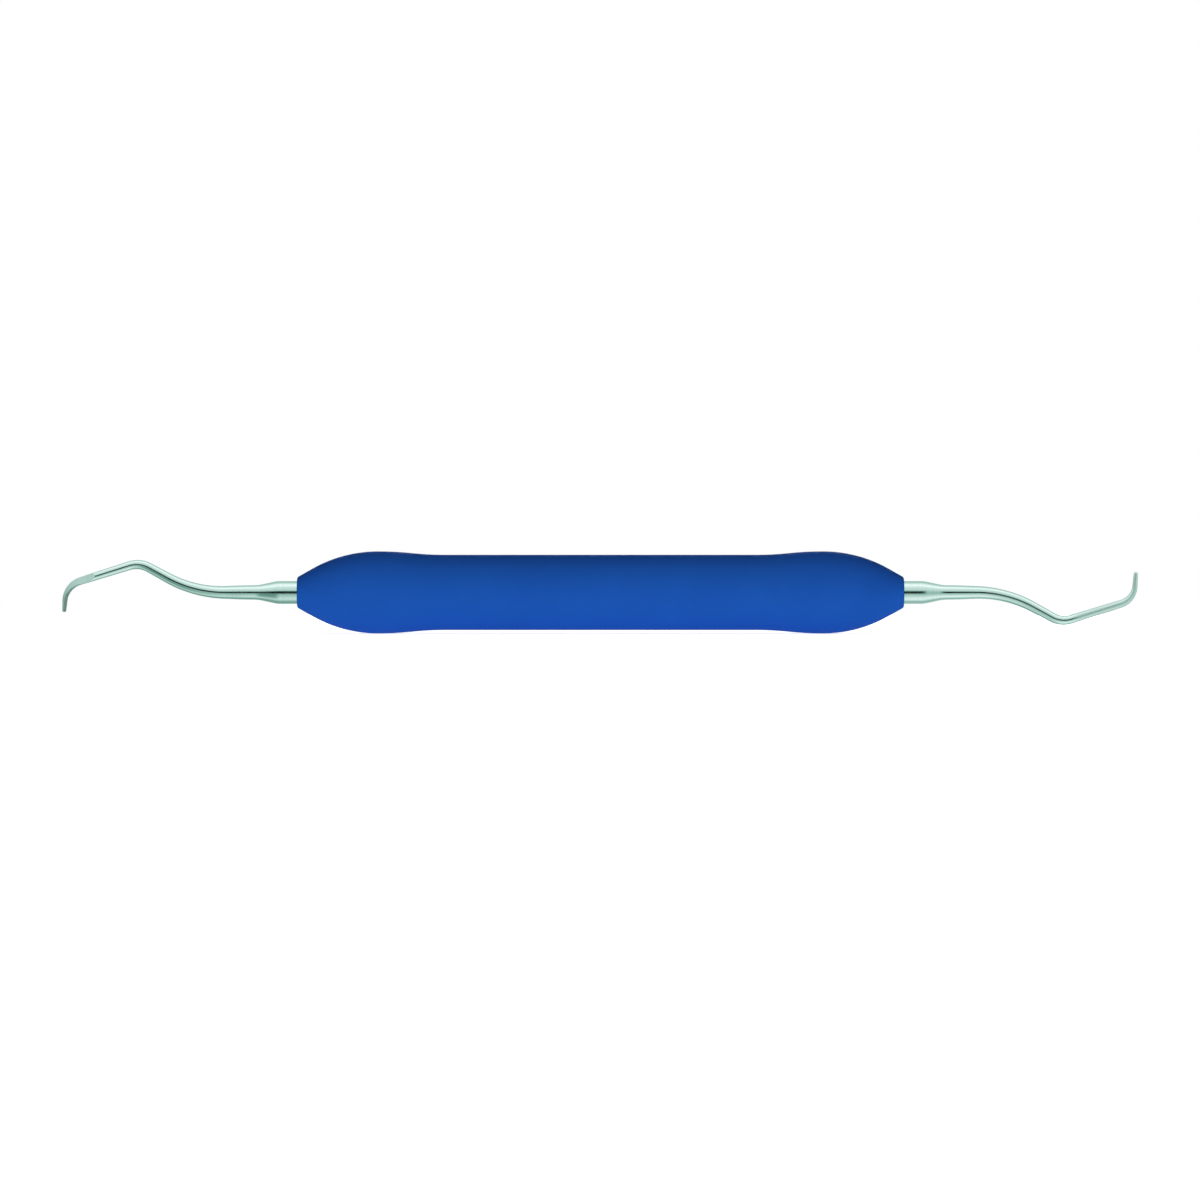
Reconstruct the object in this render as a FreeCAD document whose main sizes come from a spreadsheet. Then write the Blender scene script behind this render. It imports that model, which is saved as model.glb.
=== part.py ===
import FreeCAD, Part
import math
import os

import Sketcher
from FreeCAD import Placement, Rotation, Vector

# A double-ended dental hand instrument: a soft grip moulded over a steel tube, and at each end a bent
# steel working end whose tang is pinned into a ferrule in the tube.
# The handle lies along X with its middle at the origin, and Z is up. Each end's pieces are drawn in a frame
# of their own: x runs outwards from the grip's end face, and z points to the side of the shank's outer bend.

# Driving dimensions in millimetres and degrees: alias, value, meaning.
SIZES = [
    ("handle_length", 96.0, "grip sleeve, end face to end face"),
    ("end_face_diameter", 4.8, "grip at its end face, before the edge is rounded"),
    ("end_face_edge", 0.4, "rounding of the grip's end edges"),
    ("end_cone_length", 2.4, "straight end cone of the grip, along the axis"),
    ("bulge_diameter", 13.0, "grip at its two bulges"),
    ("bulge_from_end", 12.8, "bulge's crest to the end face"),
    ("waist_depth", 0.55, "waist below the bulges' crests"),
    ("waist_from_end", 23.5, "start of the straight waist to the end face"),
    ("lip_length", 3.0, "part of the grip that closes over the collar"),
    ("tube_diameter", 6.0, "core tube, outside"),
    ("tube_wall", 0.5, "core tube's wall"),
    ("tube_chamfer", 0.15, "lead-in at the mouths of the core tube"),
    ("flange_thickness", 0.8, "ferrule's flange, against the tube's end"),
    ("ferrule_length", 12.0, "ferrule inside the tube"),
    ("ferrule_chamfer", 0.3, "lead-in at the ferrule's inner end"),
    ("fit_gap", 0.02, "gap on the radius of pressed, bonded and sealed fits"),
    ("collar_diameter", 3.6, "collar of the working end"),
    ("collar_exposed", 3.15, "collar outside the grip"),
    ("collar_inside", 6.3, "collar inside the grip, down to its shoulder"),
    ("collar_cone_length", 3.0, "cone from the collar to the neck"),
    ("collar_cone_blend", 6.0, "radius where the cone runs into the neck"),
    ("tang_diameter", 2.2, "tang that enters the ferrule"),
    ("tang_length", 9.0, "shoulder to the tang's inner end"),
    ("tang_chamfer", 0.25, "lead-in at the tang's inner end"),
    ("pin_diameter", 1.0, "lock pin"),
    ("pin_from_shoulder", 4.5, "lock pin's axis to the collar's shoulder"),
    ("pin_chamfer", 0.1, "chamfer at the lock pin's ends"),
    ("pin_recess", 0.15, "lock pin's end below the ferrule's outside"),
    ("neck_diameter", 2.3, "shank where the cone ends"),
    ("mid_neck_diameter", 2.22, "shank halfway to the first bend"),
    ("first_bend_diameter", 2.02, "shank at the start of the first bend"),
    ("middle_run_diameter", 1.62, "shank at the start of the middle run"),
    ("apex_diameter", 1.52, "shank at the start of the apex bend"),
    ("terminal_diameter", 1.4, "shank at the start of the terminal run"),
    ("heel_diameter", 1.22, "shank at the start of the blade's bend"),
    ("blade_diameter", 0.8, "blade at the end of its bend"),
    ("toe_diameter", 0.62, "blade at the toe"),
    ("toe_rounding", 0.25, "rounding of the toe"),
    ("neck_run", 5.25, "straight run from the cone to the first bend"),
    ("first_bend_radius", 19.0, "first bend, on the shank's centre line"),
    ("first_bend_angle", 28.6, "slope of the middle run against the axis"),
    ("middle_run", 3.35, "straight run between the first bend and the apex bend"),
    ("apex_bend_radius", 4.0, "apex bend, on the shank's centre line"),
    ("terminal_angle", 17.3, "slope of the terminal run, back towards the axis"),
    ("blade_angle", 86.0, "slope of the blade against the axis"),
    ("left_terminal_run", 8.14, "straight run of the left shank before its blade's bend"),
    ("left_blade_bend_radius", 3.5, "bend into the left blade"),
    ("left_blade_run", 1.84, "left blade from the end of its bend to the toe"),
    ("right_terminal_run", 8.2, "straight run of the right shank before its blade's bend"),
    ("right_blade_bend_radius", 3.2, "bend into the right blade"),
    ("right_blade_run", 2.2, "right blade from the end of its bend to the toe"),
    ("face_depth", 0.16, "flat face of the blade to the blade's centre line"),
    ("face_lead", 0.5, "full face of the blade, ahead of the blade's bend"),
    ("grinding_wheel_radius", 4.0, "run-out of the face towards the shank"),
]

# Sizes and places that follow from the driving dimensions: name, formula.
# A place is an x in an end's own frame, unless it says otherwise.
PLACES = [
    ("half_handle", "Sizes.handle_length / 2"),
    ("face_radius", "Sizes.end_face_diameter / 2"),
    ("bulge_radius", "Sizes.bulge_diameter / 2"),
    ("waist_radius", "bulge_radius - Sizes.waist_depth"),
    ("cone_top_place", "half_handle - Sizes.end_cone_length"),
    ("bulge_place", "half_handle - Sizes.bulge_from_end"),
    ("waist_place", "half_handle - Sizes.waist_from_end"),
    ("collar_radius", "Sizes.collar_diameter / 2"),
    ("collar_bore_radius", "collar_radius + Sizes.fit_gap"),
    ("tube_radius", "Sizes.tube_diameter / 2"),
    ("tube_bore_radius", "tube_radius - Sizes.tube_wall"),
    ("sleeve_bore_radius", "tube_radius + Sizes.fit_gap"),
    ("ferrule_radius", "tube_bore_radius - Sizes.fit_gap"),
    ("ferrule_end_radius", "ferrule_radius - Sizes.ferrule_chamfer"),
    ("tang_radius", "Sizes.tang_diameter / 2"),
    ("tang_end_radius", "tang_radius - Sizes.tang_chamfer"),
    ("tang_bore_radius", "tang_radius + Sizes.fit_gap"),
    ("neck_radius", "Sizes.neck_diameter / 2"),
    ("pin_radius", "Sizes.pin_diameter / 2"),
    ("pin_bore_radius", "pin_radius + Sizes.fit_gap"),
    ("seal_radius", "(collar_bore_radius - tang_radius) / 2 - Sizes.fit_gap"),
    ("seal_ring_radius", "(collar_bore_radius + tang_radius) / 2"),
    ("collar_end", "Sizes.collar_exposed"),
    ("cone_end", "collar_end + Sizes.collar_cone_length"),
    ("flange_outer", "-Sizes.lip_length - Sizes.fit_gap"),
    ("flange_inner", "flange_outer - Sizes.flange_thickness"),
    ("ferrule_end", "flange_inner - Sizes.ferrule_length"),
    ("ferrule_end_land", "ferrule_end + Sizes.ferrule_chamfer"),
    ("shoulder", "-Sizes.collar_inside"),
    ("seal_place", "shoulder - Sizes.fit_gap - seal_radius"),
    ("gland_floor", "seal_place - seal_radius - Sizes.fit_gap"),
    ("tang_end", "shoulder - Sizes.tang_length"),
    ("tang_end_land", "tang_end + Sizes.tang_chamfer"),
    ("pin_place", "shoulder - Sizes.pin_from_shoulder"),
    ("lip_place", "half_handle - Sizes.lip_length"),
    ("tube_length", "2 * (half_handle + flange_inner)"),
    ("pin_length", "2 * (ferrule_radius - Sizes.pin_recess)"),
    ("toe_edge", "min(Sizes.toe_rounding; 0.45 * Sizes.toe_diameter)"),
    ("end_edge", "min(Sizes.end_face_edge; 0.8 * (face_radius - collar_bore_radius))"),
    ("wheel_centre", "Sizes.face_depth + Sizes.grinding_wheel_radius"),
    ("left_face_length",
     "Sizes.face_lead + Sizes.left_blade_bend_radius + Sizes.left_blade_run + Sizes.heel_diameter"),
    ("right_face_length",
     "Sizes.face_lead + Sizes.right_blade_bend_radius + Sizes.right_blade_run + Sizes.heel_diameter"),
]

# The sketcher's own numbers for its axes, its first outside reference and the points of a curve.
HORIZONTAL_AXIS, VERTICAL_AXIS, OUTSIDE_POINT = range(-1, -4, -1)
START, END, CENTRE = range(1, 4)
# Two places nearer than this are the same place.
SAME_PLACE = 1e-4

doc = FreeCAD.newDocument("HandInstrument")


def make_sheet():
    """The spreadsheet of driving dimensions."""
    sheet = doc.addObject("Spreadsheet::Sheet", "Sizes")
    for row, (alias, value, meaning) in enumerate(SIZES, start=1):
        sheet.set(f"A{row}", meaning)
        sheet.set(f"B{row}", str(value))
        sheet.setAlias(f"B{row}", alias)
    doc.recompute()
    return sheet


def make_places():
    """The derived sizes and places, each one a formula on the sheet."""
    holder = doc.addObject("App::VarSet", "Places")
    for name, formula in PLACES:
        holder.addProperty("App::PropertyFloat", name, "Places", "")
        holder.setExpression(name, formula)
    doc.recompute()
    return holder


sizes = make_sheet()
places = make_places()
driving = {alias for alias, value, meaning in SIZES}


def value_of(name):
    """Present value of a driving dimension or a derived one."""
    if name.startswith("-"):
        return -value_of(name[1:])
    return float(getattr(sizes if name in driving else places, name))


def formula_of(name):
    """Expression that binds to a driving dimension or a derived one."""
    if name.startswith("-"):
        return "-" + formula_of(name[1:])
    return f"Sizes.{name}" if name in driving else f"Places.{name}"


# ---------------------------------------------------------------- sketches


def new_body(name):
    body = doc.addObject("PartDesign::Body", name)
    body.Label = name
    return body


def origin_plane(body, role):
    return next(item for item in body.Origin.OriginFeatures if item.Role == role)


def new_sketch(body, name, plane):
    sketch = body.newObject("Sketcher::SketchObject", name)
    sketch.AttachmentSupport = [(origin_plane(body, plane), "")]
    sketch.MapMode = "FlatFace"
    return sketch


def bind(sketch, kind, place, name, unit=""):
    """Add a dimension to a sketch and tie it to a named size."""
    start = math.radians(value_of(name)) if unit else value_of(name)
    index = sketch.addConstraint(Sketcher.Constraint(kind, *place, start))
    sketch.setExpression(f"Constraints[{index}]", formula_of(name) + unit)


def put_point(sketch, geometry, end, x_name, y_name):
    """Fix one point of a sketch at named coordinates, where an empty name is the axis."""
    for kind, name, axis in (("DistanceX", x_name, VERTICAL_AXIS), ("DistanceY", y_name, HORIZONTAL_AXIS)):
        if name:
            bind(sketch, kind, (geometry, end), name)
        else:
            sketch.addConstraint(Sketcher.Constraint("PointOnObject", geometry, end, axis))


def point_at(x_name, y_name):
    return Vector(value_of(x_name) if x_name else 0, value_of(y_name) if y_name else 0, 0)


def add_line(sketch, first, last):
    return sketch.addGeometry(Part.LineSegment(first, last), False)


def add_arc(sketch, centre, radius, first_angle, last_angle):
    """Arc that runs anticlockwise from the first angle to the last, in radians."""
    circle = Part.Circle(centre, Vector(0, 0, 1), radius)
    return sketch.addGeometry(Part.ArcOfCircle(circle, first_angle, last_angle), False)


def add_circle(sketch, centre_name, radius_name):
    """Circle on the sketch's horizontal axis, at a named place."""
    circle = Part.Circle(point_at(centre_name, ""), Vector(0, 0, 1), value_of(radius_name))
    index = sketch.addGeometry(circle, False)
    put_point(sketch, index, CENTRE, centre_name, "")
    bind(sketch, "Radius", (index,), radius_name)


def join(sketch, first, first_end, second, second_end):
    sketch.addConstraint(Sketcher.Constraint("Coincident", first, first_end, second, second_end))


def smooth(sketch, first, first_end, second, second_end):
    sketch.addConstraint(Sketcher.Constraint("Tangent", first, first_end, second, second_end))


def closed_outline(sketch, corners):
    """Polygon whose corners lie at named coordinates."""
    points = [point_at(*corner) for corner in corners]
    lines = [add_line(sketch, points[i], points[(i + 1) % len(points)]) for i in range(len(points))]
    for i, corner in enumerate(corners):
        join(sketch, lines[i - 1], END, lines[i], START)
        put_point(sketch, lines[i], START, *corner)


# ---------------------------------------------------------------- features


def turned(body, name, sketch):
    """Revolve a half section about the X axis."""
    feature = body.newObject("PartDesign::Revolution", name)
    feature.Profile = sketch
    feature.ReferenceAxis = (sketch, ["H_Axis"])
    feature.Angle = 360
    doc.recompute()
    return feature


def cut_through(body, name, sketch):
    """Cut a sketch's outline right through, both ways, and make sure that it cut."""
    before = body.Shape.Volume
    feature = body.newObject("PartDesign::Pocket", name)
    feature.Profile = sketch
    feature.Type = "ThroughAll"
    feature.SideType = "Symmetric"
    doc.recompute()
    if not body.Shape.Volume < before:
        raise RuntimeError(f"{body.Label}: {name} cuts nothing")


def edges_where(feature, wanted):
    """Names of the feature's edges that pass a test."""
    return [f"Edge{i}" for i, edge in enumerate(feature.Shape.Edges, start=1) if wanted(edge)]


def is_ring(edge, x, radius):
    """True for a full circle about the X axis at a place and of a radius."""
    curve = edge.Curve
    return (
        curve.TypeId == "Part::GeomCircle"
        and abs(curve.Radius - radius) < SAME_PLACE
        and abs(curve.Center.x - x) < SAME_PLACE
        and math.hypot(curve.Center.y, curve.Center.z) < SAME_PLACE
    )


def dress(body, kind, name, base, edges, property_name, size_name):
    """Fillet or chamfer of named edges, with a named size."""
    if not edges:
        raise RuntimeError(f"{body.Label}: {name} found no edge")
    feature = body.newObject(kind, name)
    feature.Base = (base, edges)
    setattr(feature, property_name, value_of(size_name))
    feature.setExpression(property_name, formula_of(size_name))
    doc.recompute()
    return feature


# ---------------------------------------------------------------- the handle


def shoulder_slope(cone_length, shoulder_length, rise):
    """Slope of the end cone whose tangent arc climbs the rest of the rise and ends level."""
    low, high = 0.0, math.pi / 2
    while high - low > SAME_PLACE:
        slope = (low + high) / 2
        climbed = cone_length * math.tan(slope) + shoulder_length * math.tan(slope / 2)
        low, high = (slope, high) if climbed < rise else (low, slope)
    return slope


def make_grip_sleeve():
    """Soft sleeve: end cone, bulge and waist outside, bore for the tube and a lip on the collar inside."""
    body = new_body("grip_sleeve")
    sketch = new_sketch(body, "sleeve_half_section", "XZ_Plane")

    half, face = value_of("half_handle"), value_of("face_radius")
    crest = point_at("bulge_place", "bulge_radius")
    waist = point_at("waist_place", "waist_radius")

    # The shoulder arc touches the end cone and lies level at the crest.
    cone_length = value_of("end_cone_length")
    shoulder_length = value_of("cone_top_place") - crest.x
    slope = shoulder_slope(cone_length, shoulder_length, crest.y - face)
    shoulder_radius = shoulder_length / math.sin(slope)
    shoulder_centre = Vector(crest.x, crest.y - shoulder_radius, 0)
    cone_top = Vector(half - cone_length, face + cone_length * math.tan(slope), 0)

    # Two equal arcs lead from the crest down to the waist.
    length, drop = crest.x - waist.x, crest.y - waist.y
    turn = 2 * math.atan2(drop, length)
    ease_radius = length / math.sin(turn) / 2
    crest_centre = Vector(crest.x, crest.y - ease_radius, 0)
    waist_centre = Vector(waist.x, waist.y + ease_radius, 0)

    quarter = math.pi / 2
    inner = [
        ("", "sleeve_bore_radius"),
        ("lip_place", "sleeve_bore_radius"),
        ("lip_place", "collar_bore_radius"),
        ("half_handle", "collar_bore_radius"),
        ("half_handle", "face_radius"),
    ]
    points = [point_at(*corner) for corner in inner]
    walls = [add_line(sketch, points[i], points[i + 1]) for i in range(len(points) - 1)]
    cone = add_line(sketch, Vector(half, face, 0), cone_top)
    shoulder = add_arc(sketch, shoulder_centre, shoulder_radius, quarter - slope, quarter)
    ease_down = add_arc(sketch, crest_centre, ease_radius, quarter, quarter + turn)
    ease_in = add_arc(sketch, waist_centre, ease_radius, 3 * quarter, 3 * quarter + turn)
    level = add_line(sketch, waist, Vector(0, waist.y, 0))
    middle = add_line(sketch, Vector(0, waist.y, 0), points[0])

    for wall, corner in zip(walls, inner):
        put_point(sketch, wall, START, *corner)
    put_point(sketch, cone, START, *inner[-1])
    for first, second in zip(walls, walls[1:] + [cone]):
        join(sketch, first, END, second, START)
    bind(sketch, "DistanceX", (cone, END), "cone_top_place")
    smooth(sketch, cone, END, shoulder, START)
    put_point(sketch, shoulder, END, "bulge_place", "bulge_radius")
    bind(sketch, "DistanceX", (shoulder, CENTRE), "bulge_place")
    join(sketch, shoulder, END, ease_down, START)
    bind(sketch, "DistanceX", (ease_down, CENTRE), "bulge_place")
    smooth(sketch, ease_down, END, ease_in, END)
    sketch.addConstraint(Sketcher.Constraint("Equal", ease_down, ease_in))
    bind(sketch, "DistanceX", (ease_in, CENTRE), "waist_place")
    join(sketch, ease_in, START, level, START)
    put_point(sketch, level, START, "waist_place", "waist_radius")
    put_point(sketch, level, END, "", "waist_radius")
    join(sketch, level, END, middle, START)
    join(sketch, middle, END, walls[0], START)
    doc.recompute()

    half_sleeve = turned(body, "half_sleeve", sketch)
    both = body.newObject("PartDesign::Mirrored", "both_halves")
    both.Originals = [half_sleeve]
    both.MirrorPlane = (origin_plane(body, "YZ_Plane"), [""])
    body.Tip = both
    doc.recompute()
    rims = edges_where(both, lambda edge: is_ring(edge, half, face) or is_ring(edge, -half, face))
    dress(body, "PartDesign::Fillet", "end_edges", both, rims, "Radius", "end_edge")
    return body


def make_core_tube():
    """Thin steel tube, with a small lead-in at each mouth."""
    body = new_body("core_tube")
    sketch = new_sketch(body, "tube_section", "YZ_Plane")
    for radius_name in ("tube_radius", "tube_bore_radius"):
        add_circle(sketch, "", radius_name)
    tube = body.newObject("PartDesign::Pad", "tube")
    tube.Profile = sketch
    tube.SideType = "Symmetric"
    tube.Length = value_of("tube_length")
    tube.setExpression("Length", formula_of("tube_length"))
    doc.recompute()
    end, bore = value_of("tube_length") / 2, value_of("tube_bore_radius")
    mouths = edges_where(tube, lambda edge: is_ring(edge, end, bore) or is_ring(edge, -end, bore))
    dress(body, "PartDesign::Chamfer", "mouths", tube, mouths, "Size", "tube_chamfer")
    return body


# ---------------------------------------------------------------- the two ends


def seat_at_end(piece, side):
    """Turn a piece from its end's own frame to that end of the handle."""
    left = side == "left"
    piece.Placement = Placement(Vector(), Rotation(Vector(0, 0, 1) if left else Vector(1, 0, 0), 180))
    piece.setExpression("Placement.Base.x", "-Places.half_handle" if left else "Places.half_handle")


def make_ferrule(side):
    """Turned plug: flange on the tube's end, bore for collar, seal and tang, and the pin's cross hole."""
    body = new_body(f"{side}_ferrule")
    sketch = new_sketch(body, f"{side}_ferrule_half_section", "XZ_Plane")
    closed_outline(sketch, [
        ("flange_outer", "collar_bore_radius"),
        ("flange_outer", "tube_radius"),
        ("flange_inner", "tube_radius"),
        ("flange_inner", "ferrule_radius"),
        ("ferrule_end_land", "ferrule_radius"),
        ("ferrule_end", "ferrule_end_radius"),
        ("ferrule_end", "tang_bore_radius"),
        ("gland_floor", "tang_bore_radius"),
        ("gland_floor", "collar_bore_radius"),
    ])
    turned(body, f"{side}_ferrule_turning", sketch)
    hole = new_sketch(body, f"{side}_ferrule_pin_hole", "XZ_Plane")
    add_circle(hole, "pin_place", "pin_bore_radius")
    cut_through(body, f"{side}_ferrule_cross_hole", hole)
    seat_at_end(body, side)
    return body


def make_lock_pin(side):
    """Cross pin through ferrule and tang, held in by the tube's wall."""
    body = new_body(f"{side}_lock_pin")
    sketch = new_sketch(body, f"{side}_pin_section", "XZ_Plane")
    add_circle(sketch, "pin_place", "pin_radius")
    pin = body.newObject("PartDesign::Pad", f"{side}_pin")
    pin.Profile = sketch
    pin.SideType = "Symmetric"
    pin.Length = value_of("pin_length")
    pin.setExpression("Length", formula_of("pin_length"))
    doc.recompute()
    rims = edges_where(pin, lambda edge: edge.Curve.TypeId == "Part::GeomCircle")
    dress(body, "PartDesign::Chamfer", f"{side}_pin_ends", pin, rims, "Size", "pin_chamfer")
    seat_at_end(body, side)
    return body


def make_seal(side):
    """O-ring round the tang, between the collar's shoulder and the floor of the ferrule's gland."""
    ring = doc.addObject("Part::Torus", f"{side}_seal")
    ring.Label = f"{side}_seal"
    ring.setExpression("Radius1", formula_of("seal_ring_radius"))
    ring.setExpression("Radius2", formula_of("seal_radius"))
    ring.Placement = Placement(Vector(), Rotation(Vector(0, 1, 0), 90))
    outwards = "-1" if side == "left" else "1"
    ring.setExpression("Placement.Base.x", f"{outwards} * (Places.half_handle + Places.seal_place)")
    return ring


def shank_route(body, side):
    """Centre line of the bent shank: straight runs joined by tangent arcs."""
    sketch = new_sketch(body, f"{side}_shank_route", "XZ_Plane")
    runs = ["neck_run", "middle_run", f"{side}_terminal_run", f"{side}_blade_run"]
    bends = ["first_bend_radius", "apex_bend_radius", f"{side}_blade_bend_radius"]
    slopes = ["first_bend_angle", "-terminal_angle", "-blade_angle"]

    here = point_at("cone_end", "")
    heading = 0.0
    pieces = []
    for i, run in enumerate(runs):
        there = here + Vector(math.cos(heading), math.sin(heading), 0) * value_of(run)
        line = add_line(sketch, here, there)
        pieces.append((line, START, END))
        bind(sketch, "Distance", (line,), run)
        here = there
        if i == len(bends):
            break
        next_heading = math.radians(value_of(slopes[i]))
        side_sign = 1 if next_heading > heading else -1
        radius = value_of(bends[i])
        centre = here + Vector(-math.sin(heading), math.cos(heading), 0) * side_sign * radius
        first = heading - side_sign * math.pi / 2
        last = next_heading - side_sign * math.pi / 2
        arc = add_arc(sketch, centre, radius, min(first, last), max(first, last))
        pieces.append((arc, START, END) if side_sign > 0 else (arc, END, START))
        bind(sketch, "Radius", (arc,), bends[i])
        here = centre + Vector(math.cos(last), math.sin(last), 0) * radius
        heading = next_heading

    put_point(sketch, pieces[0][0], START, "cone_end", "")
    sketch.addConstraint(Sketcher.Constraint("Horizontal", pieces[0][0]))
    for before, after in zip(pieces, pieces[1:]):
        smooth(sketch, before[0], before[2], after[0], after[1])
    for slope, line in zip(slopes, pieces[2::2]):
        bind(sketch, "Angle", (line[0],), slope, " * 1 deg")
    doc.recompute()
    return sketch


def shank_section(body, side, route, edge, along, diameter_name):
    """Round section of the shank, square to its centre line."""
    sketch = body.newObject("Sketcher::SketchObject", f"{side}_section_{diameter_name}")
    sketch.AttachmentSupport = [(route, edge)]
    sketch.MapMode = "NormalToEdge"
    sketch.MapPathParameter = along
    circle = sketch.addGeometry(Part.Circle(Vector(), Vector(0, 0, 1), value_of(diameter_name) / 2), False)
    join(sketch, circle, CENTRE, HORIZONTAL_AXIS, START)
    bind(sketch, "Diameter", (circle,), diameter_name)
    return sketch


def make_working_end(side):
    """Turned tang, collar and cone, then the bent and tapered shank and the half-round blade."""
    body = new_body(f"{side}_working_end")
    sketch = new_sketch(body, f"{side}_collar_half_section", "XZ_Plane")
    closed_outline(sketch, [
        ("tang_end", ""),
        ("tang_end", "tang_end_radius"),
        ("tang_end_land", "tang_radius"),
        ("shoulder", "tang_radius"),
        ("shoulder", "collar_radius"),
        ("collar_end", "collar_radius"),
        ("cone_end", "neck_radius"),
        ("cone_end", ""),
    ])
    turned(body, f"{side}_turning", sketch)

    # One section stands at each end of each straight run of the centre line, and one halfway along the neck.
    route = shank_route(body, side)
    places_of_sections = [
        ("Edge1", 0, "neck_diameter"),
        ("Edge1", 1 / 2, "mid_neck_diameter"),
        ("Edge1", 1, "first_bend_diameter"),
        ("Edge3", 0, "middle_run_diameter"),
        ("Edge3", 1, "apex_diameter"),
        ("Edge5", 0, "terminal_diameter"),
        ("Edge5", 1, "heel_diameter"),
        ("Edge7", 0, "blade_diameter"),
        ("Edge7", 1, "toe_diameter"),
    ]
    sections = [shank_section(body, side, route, *place) for place in places_of_sections]
    doc.recompute()
    shank = body.newObject("PartDesign::AdditivePipe", f"{side}_shank")
    shank.Profile = (sections[0], [""])
    shank.Spine = (route, [""])
    shank.Transformation = "Multisection"
    shank.Sections = [(section, [""]) for section in sections[1:]]
    doc.recompute()

    cone_end, neck = value_of("cone_end"), value_of("neck_radius")
    blend = edges_where(shank, lambda edge: is_ring(edge, cone_end, neck))
    blended = dress(
        body, "PartDesign::Fillet", f"{side}_neck_blend", shank, blend, "Radius", "collar_cone_blend")

    tip = route.Shape.Edges[-1].Vertexes
    toe_centre = max((vertex.Point for vertex in tip), key=lambda point: point.x)
    reach = value_of("toe_diameter")
    rims = edges_where(
        blended, lambda edge: all((vertex.Point - toe_centre).Length < reach for vertex in edge.Vertexes)
        and edge.Closed)
    rounded = dress(body, "PartDesign::Fillet", f"{side}_toe", blended, rims, "Radius", "toe_edge")

    hole = new_sketch(body, f"{side}_tang_pin_hole", "XZ_Plane")
    add_circle(hole, "pin_place", "pin_bore_radius")
    cut_through(body, f"{side}_tang_cross_hole", hole)

    grind_face(body, side, route)
    seat_at_end(body, side)
    return body


def grind_face(body, side, route):
    """Grind the flat face of the blade, which runs out towards the shank with the wheel's radius."""
    sketch = new_sketch(body, f"{side}_face_cut", "XY_Plane")
    terminal_run = route.Shape.Edges[4].Vertexes
    heel = max((vertex.Point for vertex in terminal_run), key=lambda point: point.x)
    heel_name = next(
        f"Vertex{i}" for i, vertex in enumerate(route.Shape.Vertexes, start=1)
        if (vertex.Point - heel).Length < SAME_PLACE)
    sketch.addExternal(route.Name, heel_name)
    doc.recompute()

    # The two blades face opposite ways, because the ends are of opposite hand.
    hand = "" if side == "left" else "-"
    turn = 1 if side == "left" else -1
    wheel = value_of("grinding_wheel_radius")
    full_face = heel.x - value_of("face_lead")
    far_end = full_face + value_of(f"{side}_face_length")
    low, high = value_of(hand + "face_depth"), value_of(hand + "wheel_centre")
    face = add_line(sketch, Vector(full_face, low, 0), Vector(far_end, low, 0))
    outer = add_line(sketch, Vector(far_end, low, 0), Vector(far_end, high, 0))
    top = add_line(sketch, Vector(far_end, high, 0), Vector(full_face - wheel, high, 0))
    centre = Vector(full_face, high, 0)
    if turn > 0:
        run_out = add_arc(sketch, centre, wheel, math.pi, 3 * math.pi / 2)
        join(sketch, top, END, run_out, START)
        smooth(sketch, run_out, END, face, START)
    else:
        run_out = add_arc(sketch, centre, wheel, math.pi / 2, math.pi)
        join(sketch, top, END, run_out, END)
        smooth(sketch, run_out, START, face, START)
    join(sketch, face, END, outer, START)
    join(sketch, outer, END, top, START)
    sketch.addConstraint(Sketcher.Constraint("Horizontal", face))
    sketch.addConstraint(Sketcher.Constraint("Vertical", outer))
    sketch.addConstraint(Sketcher.Constraint("Horizontal", top))
    bind(sketch, "DistanceY", (face, START), hand + "face_depth")
    bind(sketch, "DistanceX", (face, START, OUTSIDE_POINT, START), "face_lead")
    bind(sketch, "Distance", (face,), f"{side}_face_length")
    bind(sketch, "DistanceY", (run_out, CENTRE), hand + "wheel_centre")
    bind(sketch, "DistanceY", (top, END), hand + "wheel_centre")
    doc.recompute()
    cut_through(body, f"{side}_face", sketch)


pieces = [make_grip_sleeve(), make_core_tube()]
for side in ("left", "right"):
    pieces += [make_ferrule(side), make_working_end(side), make_lock_pin(side), make_seal(side)]
doc.recompute()
for item in doc.Objects:
    if "Invalid" in item.State or "Error" in item.State:
        raise RuntimeError(f"{item.Label}: {item.State}")
    if item.TypeId == "Sketcher::SketchObject" and not item.FullyConstrained:
        raise RuntimeError(f"{item.Label}: not fully constrained")
os.makedirs("parts", exist_ok=True)
for piece in pieces:
    shape = piece.Shape
    if shape.isNull() or not shape.isValid():
        raise RuntimeError(f"{piece.Label}: no valid shape")
    shape.exportStep(f"parts/{piece.Label}.step")
    print(piece.Label, len(shape.Solids), round(shape.Volume, 2))
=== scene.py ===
import math

import bmesh
import bpy
from mathutils import Matrix, Vector


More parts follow.
